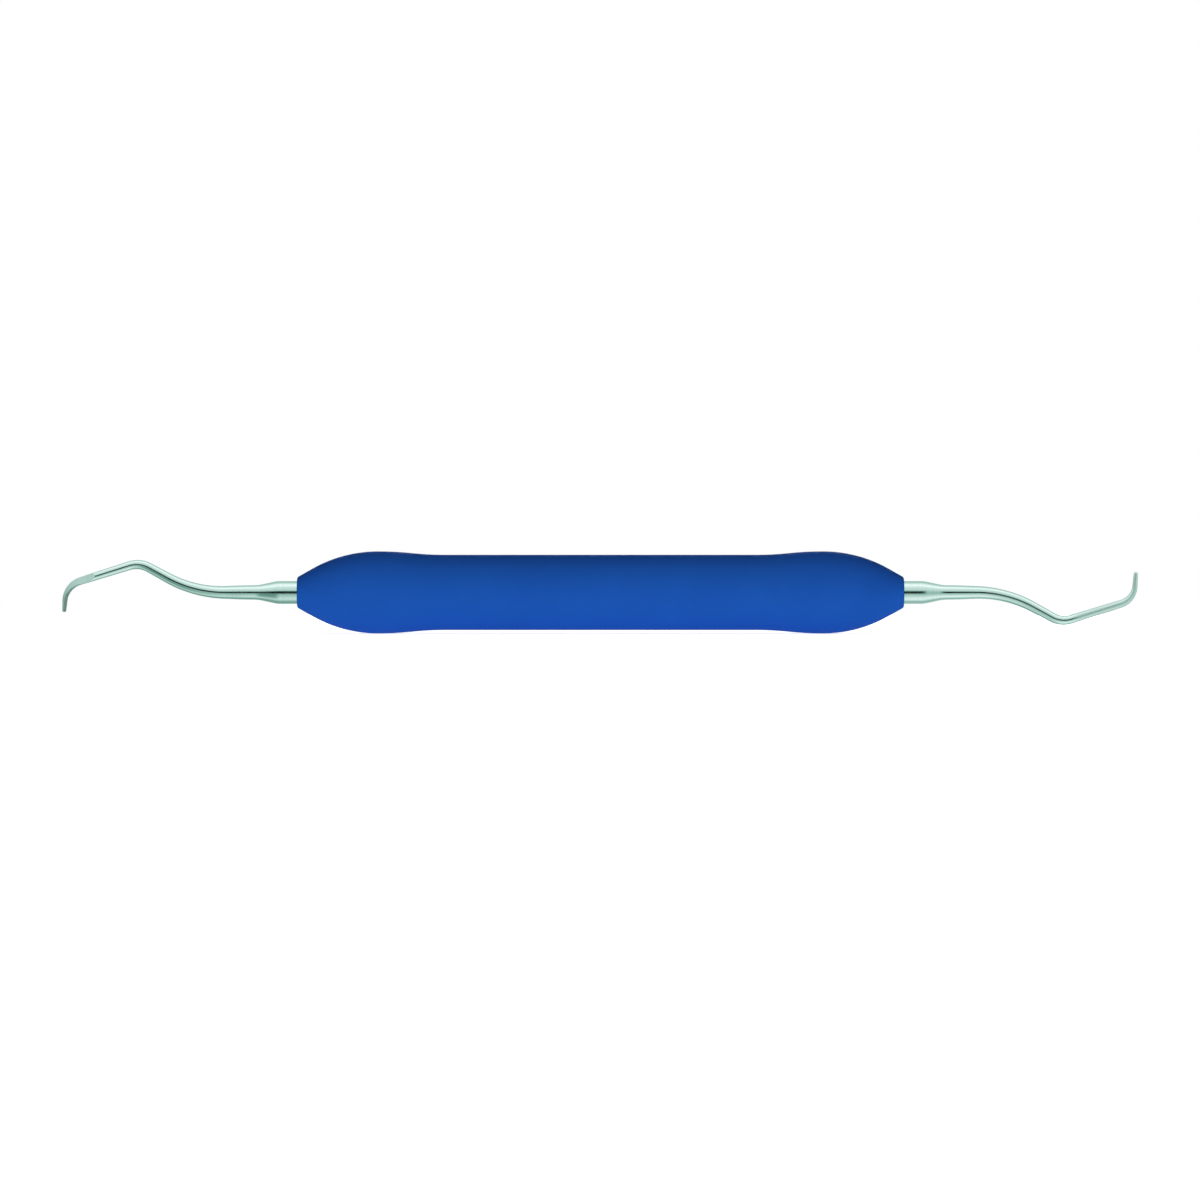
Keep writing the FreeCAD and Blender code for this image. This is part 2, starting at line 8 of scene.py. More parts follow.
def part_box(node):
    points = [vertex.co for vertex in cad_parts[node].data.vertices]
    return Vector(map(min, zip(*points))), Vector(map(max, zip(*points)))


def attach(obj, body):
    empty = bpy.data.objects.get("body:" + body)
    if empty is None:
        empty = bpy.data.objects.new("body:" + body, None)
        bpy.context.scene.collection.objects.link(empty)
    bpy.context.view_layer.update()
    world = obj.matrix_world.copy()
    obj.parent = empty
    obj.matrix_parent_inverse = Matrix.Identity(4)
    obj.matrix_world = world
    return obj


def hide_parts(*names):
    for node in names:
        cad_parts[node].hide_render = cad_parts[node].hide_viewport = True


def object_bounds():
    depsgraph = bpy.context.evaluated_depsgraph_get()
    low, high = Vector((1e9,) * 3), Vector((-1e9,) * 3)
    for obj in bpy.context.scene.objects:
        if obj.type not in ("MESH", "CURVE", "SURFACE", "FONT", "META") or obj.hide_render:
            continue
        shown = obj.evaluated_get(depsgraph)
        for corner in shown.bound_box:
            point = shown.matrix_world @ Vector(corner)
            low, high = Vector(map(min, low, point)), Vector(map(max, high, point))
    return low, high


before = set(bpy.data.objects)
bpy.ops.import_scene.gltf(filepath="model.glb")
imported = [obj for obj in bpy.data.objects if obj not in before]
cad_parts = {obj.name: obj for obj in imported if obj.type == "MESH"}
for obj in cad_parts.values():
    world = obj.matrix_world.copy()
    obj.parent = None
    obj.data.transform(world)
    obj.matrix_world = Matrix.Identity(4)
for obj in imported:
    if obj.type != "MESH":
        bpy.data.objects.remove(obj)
cad_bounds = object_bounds()

# ------------------------------------------------------------------ core tube
# The backbone of the handle: a thin tube of drawn stainless steel, closed at both ends by the ferrules
# and hidden in the moulded grip. The drawing die leaves fine dull lines along it.


def linear(colour):
    """Linear RGBA from an sRGB hex colour."""
    channels = [int(colour[i:i + 2], 16) / 255 for i in (1, 3, 5)]
    return [c / 12.92 if c <= 0.04045 else ((c + 0.055) / 1.055) ** 2.4 for c in channels] + [1.0]


def add_node(tree, kind, sockets=None, **settings):
    """Add a node with its settings, and set or link its sockets by name. A node links its first output."""
    node = tree.nodes.new(kind)
    for name, value in settings.items():
        setattr(node, name, value)
    for name, value in (sockets or {}).items():
        if isinstance(value, bpy.types.Node):
            value = next(socket for socket in value.outputs if socket.enabled)
        if isinstance(value, bpy.types.NodeSocket):
            tree.links.new(value, node.inputs[name])
        else:
            node.inputs[name].default_value = value
    return node


def new_material(name):
    """A material with an empty node tree."""
    material = bpy.data.materials.new(name)
    material.use_nodes = True
    material.node_tree.nodes.clear()
    return material, material.node_tree


def streaks(tree, place, spacing_mm, detail):
    """Noise with its own spacing along x, y and z, and 0 for a run without end."""
    pitch = [1000 / step if step else 0 for step in spacing_mm]
    stretched = add_node(tree, "ShaderNodeMapping", {"Vector": place, "Scale": pitch})
    return add_node(tree, "ShaderNodeTexNoise", {"Vector": stretched, "Scale": 1.0, "Detail": detail})


def finish_material(tree, tones, roughness, relief, sockets):
    """End a material. Tones: a pattern and two colours. Relief: a pattern, its strength and height in mm."""
    pattern, first, second = tones
    colour = add_node(tree, "ShaderNodeMix", {
        "Factor": pattern, "A": first, "B": second}, data_type="RGBA")
    height, strength, height_mm = relief
    bumps = add_node(tree, "ShaderNodeBump", {
        "Height": height, "Strength": strength, "Distance": height_mm / 1000})
    surface = add_node(tree, "ShaderNodeBsdfPrincipled", {
        "Base Color": colour, "Roughness": roughness, "Normal": bumps, **sockets})
    add_node(tree, "ShaderNodeOutputMaterial", {"Surface": surface})


def lined_metal(name, colour, spacing_mm, smooth, rough, height_mm):
    """Metal with the lines of its working, which have this spacing along x, y and z."""
    material, tree = new_material(name)
    place = add_node(tree, "ShaderNodeTexCoord").outputs["Object"]
    lines = streaks(tree, place, spacing_mm, 3.0)
    sheen = add_node(tree, "ShaderNodeMapRange", {
        "Value": lines, "From Min": 0.3, "From Max": 0.7, "To Min": smooth, "To Max": rough})
    # Between the lines the metal is a fifth darker.
    bright = linear(colour)
    dull = [0.8 * channel for channel in bright[:3]] + [1.0]
    finish_material(tree, (lines, bright, dull), sheen, (lines, 0.6, height_mm), {"Metallic": 1.0})
    return material


def finish_cad(node, material):
    """Give a CAD node that stays as it is the finish of the real piece."""
    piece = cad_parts[node]
    piece.data.materials.clear()
    piece.data.materials.append(material)


drawn_tube = lined_metal("drawn_stainless_tube", "#B9BBBC", (12.0, 0.12, 0.12), 0.28, 0.45, 0.01)
finish_cad("core_tube", drawn_tube)

# ------------------------------------------------------------------ ferrules
# A turned stainless plug in each mouth of the tube, bored for the working end. The flange stops it
# against the tube's end, and the lathe tool leaves fine rings round it.

turned_ferrule = lined_metal("turned_stainless_ferrule", "#C4C6C6", (0.15, 0, 0), 0.22, 0.38, 0.015)
for side in ("left", "right"):
    finish_cad(f"{side}_ferrule", turned_ferrule)

# ------------------------------------------------------------------ working ends
# One piece of hardened stainless steel at each end: tang and collar turned, shank drawn down and bent,
# blade ground flat on one side, then all of it polished to a satin with a faint green cast from the bath.

# Lengths are in millimetres and angles in degrees.
# Turned part: distance from the grip's end face, and radius. Two of its corners are blended.
TURNED = [(-15.3, 0.85), (-15.05, 1.1), (-6.3, 1.1), (-6.3, 1.8), (3.15, 1.8), (6.15, 1.15)]
BLEND_RADIUS = {(3.15, 1.8): 5.0, (6.15, 1.15): 6.0}
PIN_HOLE = {"place": -10.8, "radius": 0.52, "depth": 6.0, "facets": 48}
# A small twist keeps the drill's corners off the widest line of the tang, where the cut would leave slivers.
DRILL_TWIST = 2
NECK_START = TURNED[-1][0]
# Bent shank: straight runs, and between them bends with their radius and the slope they lead to.
SHANKS = {
    "left": {"runs": (5.25, 3.35, 8.13, 1.84), "bends": ((19.0, 28.6), (4.0, -17.3), (3.5, -86.0))},
    "right": {"runs": (5.25, 3.35, 8.18, 2.2), "bends": ((19.0, 28.6), (4.0, -17.3), (3.2, -86.0))},
}
# Diameters at the start and the end of each straight run, and one halfway along the neck.
RUN_DIAMETERS = ((2.3, 2.02), (1.62, 1.52), (1.4, 1.22), (0.8, 0.62))
MID_NECK_DIAMETER = 2.22
TOE_ROUNDING, TOE_STEPS = 0.25, 12
# The ground face lies at a depth over the centre line, in full from a lead before the blade's bend, and
# runs out in the radius of the wheel. It leans to the outer side of the bend. A level strip along its
# inner edge widens from heel to toe, by shares of the blade's length and of the face's width, and
# fades at the run-out.
FACE = {"depth": 0.16, "lead": 0.5, "wheel": 4.0, "lean": 20.0, "fade": 0.3,
        "strip": ((0.0, 0.0), (0.35, 0.2), (0.55, 0.45), (1.0, 0.58))}
# The back of the last run and of the blade is honed on a stone, from the first to the second of these places
# past the bend ever duller, and evenly from there on.
HONED_FROM, HONED_TO = 0.1, 1.3
STATION_PITCH = 0.11
FACETS_AROUND, FACETS_ON_FACE = 96, 24
# Edges sharper than this stay crisp, and closer points become one. A narrower face, in radians, isn't ground.
STEEL_CREASE, STEEL_MERGE, NARROWEST_FACE = 32, 0.0002, 0.06


def centre_line(runs, bends):
    """Centre line as (length, start point, start slope, curvature) pieces, in millimetres and radians."""
    here, slope, pieces = Vector((NECK_START, 0)), 0.0, []
    for run, bend in zip(runs, bends + (None,)):
        pieces.append((run, here.copy(), slope, 0.0))
        here = here + run * Vector((math.cos(slope), math.sin(slope)))
        if bend:
            radius, target = bend[0], math.radians(bend[1])
            curvature = math.copysign(1 / radius, target - slope)
            length = (target - slope) / curvature
            pieces.append((length, here.copy(), slope, curvature))
            here = here + Vector((math.sin(target) - math.sin(slope),
                                  math.cos(slope) - math.cos(target))) / curvature
            slope = target
    return pieces


def point_on(pieces, along):
    """Centre and slope of the centre line at a distance from the neck's start, or on the axis before it."""
    if along <= 0:
        return Vector((NECK_START + along, 0)), 0.0
    for length, start, slope, curvature in pieces:
        if along <= length or (length, start, slope, curvature) == pieces[-1]:
            turned = slope + curvature * along
            if curvature == 0:
                return start + along * Vector((math.cos(slope), math.sin(slope))), slope
            return start + Vector((math.sin(turned) - math.sin(slope),
                                   math.cos(slope) - math.cos(turned))) / curvature, turned
        along -= length


def eased(knots, x):
    """Smooth curve through knots of (place, value) that never runs past them."""
    steps = [(b[1] - a[1]) / (b[0] - a[0]) for a, b in zip(knots, knots[1:])]
    slopes = [steps[0]]
    for before, after in zip(steps, steps[1:]):
        slopes.append(2 * before * after / (before + after) if before * after > 0 else 0.0)
    slopes.append(steps[-1])
    i = max(0, min(len(steps) - 1, sum(x >= knot[0] for knot in knots) - 1))
    (x0, y0), (x1, y1) = knots[i], knots[i + 1]
    t, span = (x - x0) / (x1 - x0), x1 - x0
    return ((2 * t - 3) * t * t + 1) * y0 + (3 - 2 * t) * t * t * y1 \
        + span * t * (1 - t) * ((1 - t) * slopes[i] - t * slopes[i + 1])


def corner_height(corner, before, after, radius, x):
    """Height of an arc of this radius that rounds a corner of a profile, or None beyond its ends."""
    first = math.atan2(corner[1] - before[1], corner[0] - before[0])
    second = math.atan2(after[1] - corner[1], after[0] - corner[0])
    reach = radius * math.tan(abs(second - first) / 2)
    start, end = corner[0] - reach * math.cos(first), corner[0] + reach * math.cos(second)
    if not start < x < end:
        return None
    bulges = 1 if second < first else -1
    centre_x = start + bulges * radius * math.sin(first)
    centre_y = corner[1] - reach * math.sin(first) - bulges * radius * math.cos(first)
    return centre_y + bulges * math.sqrt(radius ** 2 - (x - centre_x) ** 2)


def working_end_stations(side):
    """Rings of a working end from tang to toe, in millimetres and radians: places and cuts."""
    shank = SHANKS[side]
    pieces = centre_line(shank["runs"], shank["bends"])
    total = sum(piece[0] for piece in pieces)
    knots, passed = [], 0.0
    for length, _, _, curvature in pieces:
        if curvature == 0:
            start, end = RUN_DIAMETERS[len(knots) // 2]
            knots += [(passed, start / 2), (passed + length, end / 2)]
        passed += length
    knots.insert(1, (knots[1][0] / 2, MID_NECK_DIAMETER / 2))
    turned = [(x - NECK_START, radius) for x, radius in TURNED]
    next_knot = (knots[1][0], eased(knots, knots[1][0]))

    count = round((total - turned[0][0]) / STATION_PITCH)
    places = {turned[0][0] + i * (total - turned[0][0]) / count for i in range(count + 1)}
    toe_turns = (math.pi / 2 * i / TOE_STEPS for i in range(TOE_STEPS + 1))
    places |= {total - TOE_ROUNDING * (1 - math.sin(turn)) for turn in toe_turns}
    places |= {x for x, _ in turned}
    stations = [(turned[0][0], 0.0)]
    for place in sorted(places):
        if place < 0:
            i = max(k for k, (x, _) in enumerate(turned) if x <= place)
            (x0, r0), (x1, r1) = turned[i], turned[i + 1]
            radius = r0 + (r1 - r0) * (place - x0) / (x1 - x0)
            if place == x0 and i and turned[i - 1][0] == x0:
                stations.append((place, turned[i - 1][1]))
        else:
            radius = eased(knots, place)
        for corner, rounding in BLEND_RADIUS.items():
            k = TURNED.index(corner)
            after = turned[k + 1] if k + 1 < len(turned) else next_knot
            height = corner_height(turned[k], turned[k - 1], after, rounding, place)
            radius = radius if height is None else height
        from_tip = total - place
        if from_tip < TOE_ROUNDING:
            inset = TOE_ROUNDING - from_tip
            radius -= TOE_ROUNDING - math.sqrt(max(0, TOE_ROUNDING ** 2 - inset ** 2))
        stations.append((place, radius))
    stations.append((total, 0.0))

    # The last three pieces are the third run, the blade's bend and the blade.
    last_run, blade_bend, blade = pieces[-3:]
    full_face = blade_bend[1].x - FACE["lead"]
    blade_start = total - blade_bend[0] - blade[0]
    run_start = blade_start - last_run[0]
    facing = math.pi / 2 - math.radians(FACE["lean"])
    rings = []
    for place, radius in stations:
        centre, slope = point_on(pieces, place)
        short = max(0.0, min(FACE["wheel"], full_face - centre.x))
        height = FACE["depth"] + FACE["wheel"] - math.sqrt(FACE["wheel"] ** 2 - short ** 2)
        spread = math.acos(min(1.0, height / max(radius, 1e-6)))
        outer, inner = (radius * Vector((math.cos(facing + turn), math.sin(facing + turn)))
                        for turn in (-spread, spread))
        # The strip dies out where the face narrows to the top of the round.
        wide = min(1.0, max(0.0, (facing + spread) / (math.pi / 2) - 1) / FACE["fade"])
        strip = wide * eased(FACE["strip"], max(0.0, (place - blade_start) / (total - blade_start)))
        ridge = inner.lerp(outer, strip)
        rings.append({
            "along": place + NECK_START, "centre": centre, "slope": slope, "radius": radius, "ridge": ridge,
            "outer_angle": facing - spread,
            "inner_angle": math.pi - math.asin(ridge.y / radius) if strip > 0 else facing + spread,
            "honed": max(0.0, min(1.0, (place - run_start - HONED_FROM) / (HONED_TO - HONED_FROM)))})
    return rings


def new_object(name, data):
    """An object that is linked to the scene."""
    linked = bpy.data.objects.new(name, data)
    bpy.context.scene.collection.objects.link(linked)
    return linked


def loose_points(name, places, columns):
    """Loose points with attributes, which hold a number or a vector for each point."""
    mesh = bpy.data.meshes.new(name)
    mesh.from_pydata(places, [], [])
    for column, values in columns.items():
        if isinstance(values[0], tuple):
            flat = [number for vector in values for number in vector]
            mesh.attributes.new(column, "FLOAT_VECTOR", "POINT").data.foreach_set("vector", flat)
        else:
            mesh.attributes.new(column, "FLOAT", "POINT").data.foreach_set("value", values)
    return new_object(name, mesh)


def station_object(name, rings, side):
    """The rings' centres in place on the handle, with what each ring needs as attributes."""
    outwards = -1 if side == "left" else 1
    half_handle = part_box("grip_sleeve")[1].x
    centres, in_plane = [], []
    for ring in rings:
        (along, height), slope = ring["centre"], ring["slope"]
        centres.append((outwards * (half_handle + along / 1000), 0, -outwards * height / 1000))
        in_plane.append((-outwards * math.sin(slope), 0, -outwards * math.cos(slope)))
    return loose_points(name, centres, {
        "along": [ring["along"] / 1000 for ring in rings],
        "ring_radius": [ring["radius"] / 1000 for ring in rings],
        "inner_angle": [ring["inner_angle"] for ring in rings],
        "outer_angle": [ring["outer_angle"] for ring in rings],
        "honed_run": [ring["honed"] for ring in rings],
        "ridge": [(ring["ridge"].x / 1000, ring["ridge"].y / 1000, 0) for ring in rings],
        "in_plane": in_plane,
        "face_way": [(0, outwards, 0)] * len(rings)})


def new_tree(name, inputs):
    """Geometry node tree with geometry in and out, and the inputs that are named with their socket types."""
    tree = bpy.data.node_groups.new(name, "GeometryNodeTree")
    tree.interface.new_socket("Geometry", in_out="INPUT", socket_type="NodeSocketGeometry")
    for label, kind in inputs.items():
        tree.interface.new_socket(label, in_out="INPUT", socket_type=kind)
    tree.interface.new_socket("Geometry", in_out="OUTPUT", socket_type="NodeSocketGeometry")
    return tree, add_node(tree, "NodeGroupInput").outputs


def run_tree(source, tree, settings, name):
    """Run a tree on an object with these inputs, and return the result as a plain mesh object."""
    modifier = source.modifiers.new(name, "NODES")
    modifier.node_group = tree
    for item in tree.interface.items_tree:
        if item.in_out == "INPUT" and item.name in settings:
            modifier[item.identifier] = settings[item.name]
    shape = source.evaluated_get(bpy.context.evaluated_depsgraph_get())
    mesh = bpy.data.meshes.new_from_object(shape)
    source.modifiers.remove(modifier)
    bpy.data.objects.remove(source)
    mesh.name = name
    return new_object(name, mesh)


def sample_named(tree, stations, station, kind, *names):
    """Attributes of the stations, read at each point of the grid."""
    for name in names:
        read = add_node(tree, "GeometryNodeInputNamedAttribute", {"Name": name}, data_type=kind)
        yield add_node(tree, "GeometryNodeSampleIndex", {
            "Geometry": stations, "Value": read, "Index": station}, data_type=kind)


def ring_grid(tree, stations, facets):
    """A row of points for each station: grid, and the points' station, centre, step and share of a turn."""
    count = add_node(tree, "GeometryNodeAttributeDomainSize", {"Geometry": stations})
    row = add_node(tree, "ShaderNodeMath", {0: facets, 1: 1.0}, operation="ADD")
    grid = add_node(tree, "GeometryNodeMeshGrid", {
        "Vertices X": count.outputs["Point Count"], "Vertices Y": row})
    index = add_node(tree, "GeometryNodeInputIndex")
    row_place = add_node(tree, "ShaderNodeMath", {
        0: add_node(tree, "ShaderNodeMath", {0: index, 1: 0.5}, operation="ADD"), 1: row}, operation="DIVIDE")
    station = add_node(tree, "ShaderNodeMath", {0: row_place}, operation="FLOOR")
    passed = add_node(tree, "ShaderNodeMath", {0: station, 1: row}, operation="MULTIPLY")
    step = add_node(tree, "ShaderNodeMath", {0: index, 1: passed}, operation="SUBTRACT")
    share = add_node(tree, "ShaderNodeMath", {0: step, 1: facets}, operation="DIVIDE")
    centre = add_node(tree, "GeometryNodeSampleIndex", {
        "Geometry": stations, "Value": add_node(tree, "GeometryNodeInputPosition"), "Index": station},
        data_type="FLOAT_VECTOR")
    return grid, station, centre, step, share


def shade_smooth(tree, geometry, crease):
    """The geometry with smooth shading, but crisp edges where it turns by more degrees than the crease."""
    turn = add_node(tree, "GeometryNodeInputMeshEdgeAngle").outputs["Unsigned Angle"]
    sharp = add_node(tree, "ShaderNodeMath", {0: turn, 1: math.radians(crease)}, operation="GREATER_THAN")
    smooth = add_node(tree, "GeometryNodeSetShadeSmooth", {"Geometry": geometry})
    return add_node(tree, "GeometryNodeSetShadeSmooth", {
        "Geometry": smooth, "Shade Smooth": False, "Selection": sharp}, domain="EDGE")


def half_round_sweep():
    """Tree that lofts rings through the stations: a round back, and a chord where the face is cut."""
    tree, given = new_tree("half_round_sweep", {
        "Facets Around": "NodeSocketInt", "Facets On Face": "NodeSocketInt",
        "Pin Hole Radius": "NodeSocketFloat", "Pin Place": "NodeSocketVector",
        "Steel": "NodeSocketMaterial", "Ground Steel": "NodeSocketMaterial"})
    stations = given["Geometry"]
    grid, station, centre, step, share = ring_grid(tree, stations, given["Facets Around"])
    radius, along, inner_angle, outer_angle, honed_run = sample_named(
        tree, stations, station, "FLOAT", "ring_radius", "along", "inner_angle", "outer_angle", "honed_run")
    ridge, in_plane, face_way = sample_named(
        tree, stations, station, "FLOAT_VECTOR", "ridge", "in_plane", "face_way")

    # A ring runs round the back to the outer edge of the face, over the ridge, and down to the inner edge.
    back_facets = add_node(tree, "ShaderNodeMath", {
        0: given["Facets Around"], 1: given["Facets On Face"]}, operation="SUBTRACT")
    back_share = add_node(tree, "ShaderNodeMath", {
        0: back_facets, 1: given["Facets Around"]}, operation="DIVIDE")
    full_turn = add_node(tree, "ShaderNodeMath", {0: 2 * math.pi, 1: outer_angle}, operation="ADD")
    angle = add_node(tree, "ShaderNodeMapRange", {
        "Value": share, "From Min": 0.0, "From Max": back_share, "To Min": inner_angle, "To Max": full_turn})
    on_round, inner_edge = (add_node(tree, "ShaderNodeVectorMath", {
        "Vector": add_node(tree, "ShaderNodeCombineXYZ", {
            "X": add_node(tree, "ShaderNodeMath", {0: turn}, operation="COSINE"),
            "Y": add_node(tree, "ShaderNodeMath", {0: turn}, operation="SINE")}),
        "Scale": radius}, operation="SCALE") for turn in (angle, inner_angle))
    # The ridge lies halfway through the face's share of the ring.
    ridge_share = add_node(tree, "ShaderNodeMath", {0: back_share, 1: 0.5, 2: 0.5}, operation="MULTIPLY_ADD")
    to_ridge = add_node(tree, "ShaderNodeMapRange", {
        "Value": share, "From Min": back_share, "From Max": ridge_share})
    over_ridge = add_node(tree, "ShaderNodeMix", {
        "Factor": to_ridge, "A": on_round, "B": ridge}, data_type="VECTOR")
    to_inner = add_node(tree, "ShaderNodeMapRange", {"Value": share, "From Min": ridge_share})
    ring = add_node(tree, "ShaderNodeMix", {
        "Factor": to_inner, "A": over_ridge, "B": inner_edge}, data_type="VECTOR")
    section = add_node(tree, "ShaderNodeSeparateXYZ", {"Vector": ring}).outputs
    reach, depth = section["X"], section["Y"]
    position = centre
    for way, length in ((in_plane, reach), (face_way, depth)):
        offset = add_node(tree, "ShaderNodeVectorMath", {"Vector": way, "Scale": length}, operation="SCALE")
        position = add_node(tree, "ShaderNodeVectorMath", {0: position, 1: offset}, operation="ADD")
    shaped = add_node(tree, "GeometryNodeSetPosition", {"Geometry": grid, "Position": position})

    # The finish follows the piece as it was before it was bent, and only its back is honed.
    straight = add_node(tree, "ShaderNodeCombineXYZ", {"X": along, "Y": reach, "Z": depth})
    marked = add_node(tree, "GeometryNodeStoreNamedAttribute", {
        "Geometry": shaped, "Name": "straight", "Value": straight}, data_type="FLOAT_VECTOR", domain="POINT")
    height = add_node(tree, "ShaderNodeMath", {0: angle}, operation="SINE")
    on_back = add_node(tree, "ShaderNodeMapRange", {"Value": height, "From Min": 0.0, "From Max": -0.5})
    back_honed = add_node(tree, "ShaderNodeMath", {0: on_back, 1: honed_run}, operation="MULTIPLY")
    honed = add_node(tree, "GeometryNodeStoreNamedAttribute", {
        "Geometry": marked, "Name": "honed", "Value": back_honed}, data_type="FLOAT", domain="POINT")
    # A facet is ground where all its corners are on the face, and the face is wide enough to show.
    on_face = add_node(tree, "ShaderNodeMath", {
        0: add_node(tree, "ShaderNodeMath", {0: step, 1: 0.5}, operation="ADD"),
        1: back_facets}, operation="GREATER_THAN")
    face_turn = add_node(tree, "ShaderNodeMath", {0: inner_angle, 1: outer_angle}, operation="SUBTRACT")
    wide_enough = add_node(tree, "ShaderNodeMath", {
        0: face_turn, 1: NARROWEST_FACE}, operation="GREATER_THAN")
    cut_corner = add_node(tree, "GeometryNodeFieldOnDomain", {
        "Value": add_node(tree, "ShaderNodeMath", {0: on_face, 1: wide_enough}, operation="MULTIPLY")},
        data_type="FLOAT", domain="POINT")
    all_corners = add_node(tree, "ShaderNodeMath", {0: cut_corner, 1: 0.99}, operation="GREATER_THAN")
    ground = add_node(tree, "GeometryNodeStoreNamedAttribute", {
        "Geometry": honed, "Name": "ground", "Value": all_corners}, data_type="BOOLEAN", domain="FACE")
    closed = add_node(tree, "GeometryNodeMergeByDistance", {
        "Geometry": ground, "Distance": STEEL_MERGE / 1000})
    drill = add_node(tree, "GeometryNodeMeshCylinder", {
        "Vertices": PIN_HOLE["facets"], "Radius": given["Pin Hole Radius"],
        "Depth": PIN_HOLE["depth"] / 1000})
    placed_drill = add_node(tree, "GeometryNodeTransform", {
        "Geometry": drill, "Translation": given["Pin Place"],
        "Rotation": (math.pi / 2, math.radians(DRILL_TWIST), 0)})
    drilled = add_node(tree, "GeometryNodeMeshBoolean", {
        "Mesh 1": closed, "Mesh 2": placed_drill}, operation="DIFFERENCE", solver="EXACT")
    real = add_node(tree, "GeometryNodeRealizeInstances", {
        "Geometry": shade_smooth(tree, drilled, STEEL_CREASE)})
    steel = add_node(tree, "GeometryNodeSetMaterial", {"Geometry": real, "Material": given["Steel"]})
    is_ground = add_node(tree, "GeometryNodeInputNamedAttribute", {"Name": "ground"}, data_type="BOOLEAN")
    faced = add_node(tree, "GeometryNodeSetMaterial", {
        "Geometry": steel, "Material": given["Ground Steel"], "Selection": is_ground})
    add_node(tree, "NodeGroupOutput", {"Geometry": faced})
    return tree


def satin_steel():
    """Hardened stainless steel: rings of the lathe on collar and cone, lengthwise polish on the shank."""
    material, tree = new_material("satin_polished_stainless")
    straight = add_node(tree, "ShaderNodeAttribute", attribute_name="straight").outputs["Vector"]
    along = add_node(tree, "ShaderNodeSeparateXYZ", {"Vector": straight}).outputs["X"]
    # Rings 0.09 mm apart and polishing lines 0.03 mm wide are drawn at 0.25 and 0.16 mm, so that they show.
    rings = streaks(tree, straight, (0.25, 0, 0), 2.0)
    lines = streaks(tree, straight, (6.0, 0.16, 0.16), 3.0)
    # The rings give way to the lines where the cone becomes the neck.
    on_shank = add_node(tree, "ShaderNodeMapRange", {
        "Value": along, "From Min": 0.0058, "From Max": 0.0075}, interpolation_type="SMOOTHSTEP")
    marks = add_node(tree, "ShaderNodeMix", {"Factor": on_shank, "A": rings, "B": lines})
    # Handling leaves soft patches of duller steel, about 3 mm across.
    patches = add_node(tree, "ShaderNodeTexNoise", {"Vector": straight, "Scale": 350.0, "Detail": 2.0})
    dulled = add_node(tree, "ShaderNodeMapRange", {
        "Value": patches, "From Min": 0.35, "From Max": 0.7, "To Min": 0.13, "To Max": 0.19})
    polished = add_node(tree, "ShaderNodeMath", {0: marks, 1: 0.06, 2: dulled}, operation="MULTIPLY_ADD")
    honed = add_node(tree, "ShaderNodeAttribute", attribute_name="honed").outputs["Fac"]
    roughness = add_node(tree, "ShaderNodeMath", {0: honed, 1: 0.3, 2: polished}, operation="MULTIPLY_ADD")
    tones = (marks, linear("#DDECE8"), linear("#CADCD7"))
    finish_material(tree, tones, roughness, (marks, 0.35, 0.004), {"Metallic": 1.0})
    return material


def ground_steel():
    """Face of the blade as the wheel leaves it: fine parallel lines across, duller than the polish."""
    material, tree = new_material("ground_stainless_face")
    straight = add_node(tree, "ShaderNodeAttribute", attribute_name="straight").outputs["Vector"]
    # Grit lines 0.02 mm apart are drawn at 0.07 mm.
    lines = streaks(tree, straight, (0.07, 2.0, 2.0), 2.0)
    roughness = add_node(tree, "ShaderNodeMapRange", {
        "Value": lines, "From Min": 0.3, "From Max": 0.7, "To Min": 0.38, "To Max": 0.5})
    tones = (lines, linear("#D2E4E0"), linear("#BDD3CE"))
    finish_material(tree, tones, roughness, (lines, 0.5, 0.004), {"Metallic": 1.0})
    return material


sweep, polished, ground_face = half_round_sweep(), satin_steel(), ground_steel()
for side in ("left", "right"):
    outwards = -1 if side == "left" else 1
    stations = station_object(f"{side}_stations", working_end_stations(side), side)
    pin_x = outwards * (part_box("grip_sleeve")[1].x + PIN_HOLE["place"] / 1000)
    working_end = run_tree(stations, sweep, {
        "Facets Around": FACETS_AROUND, "Facets On Face": FACETS_ON_FACE,
        "Pin Hole Radius": PIN_HOLE["radius"] / 1000, "Pin Place": (pin_x, 0, 0),
        "Steel": polished, "Ground Steel": ground_face}, f"{side}_steel_working_end")
    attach(working_end, "root")
    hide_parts(f"{side}_working_end")

# ------------------------------------------------------------------ lock pins
# A ground stainless dowel crosses each ferrule and tang, and the tube round it keeps it in.
# Grinding leaves rings round the dowel.

ground_pin = lined_metal("ground_stainless_pin", "#CACCCB", (0, 0.08, 0), 0.15, 0.3, 0.005)
for side in ("left", "right"):
    finish_cad(f"{side}_lock_pin", ground_pin)

# ------------------------------------------------------------------ seals
# A small moulded ring of black nitrile rubber keeps moisture out of each ferrule.
# Moulding leaves it dull and very slightly mottled.

# Spacing of the mottle, in millimetres.
MOTTLE_SPACING = 0.25
nitrile, nitrile_tree = new_material("moulded_nitrile_rubber")
seal_place = add_node(nitrile_tree, "ShaderNodeTexCoord").outputs["Object"]
mottle = add_node(nitrile_tree, "ShaderNodeTexNoise", {
    "Vector": seal_place, "Scale": 1000 / MOTTLE_SPACING, "Detail": 3.0})
dullness = add_node(nitrile_tree, "ShaderNodeMapRange", {"Value": mottle, "To Min": 0.5, "To Max": 0.75})
finish_material(nitrile_tree, (mottle, linear("#1C1C1D"), linear("#2C2C2E")), dullness,
                (mottle, 0.4, 0.01), {"IOR": 1.52})
for side in ("left", "right"):
    finish_cad(f"{side}_seal", nitrile)

# ------------------------------------------------------------------ soft grip
# The sleeve that the fingers hold: royal blue silicone rubber, moulded over tube and ferrules in a two-part
# tool. It swells into a bulge near each end and closes with a snug lip on the collar of each working end.

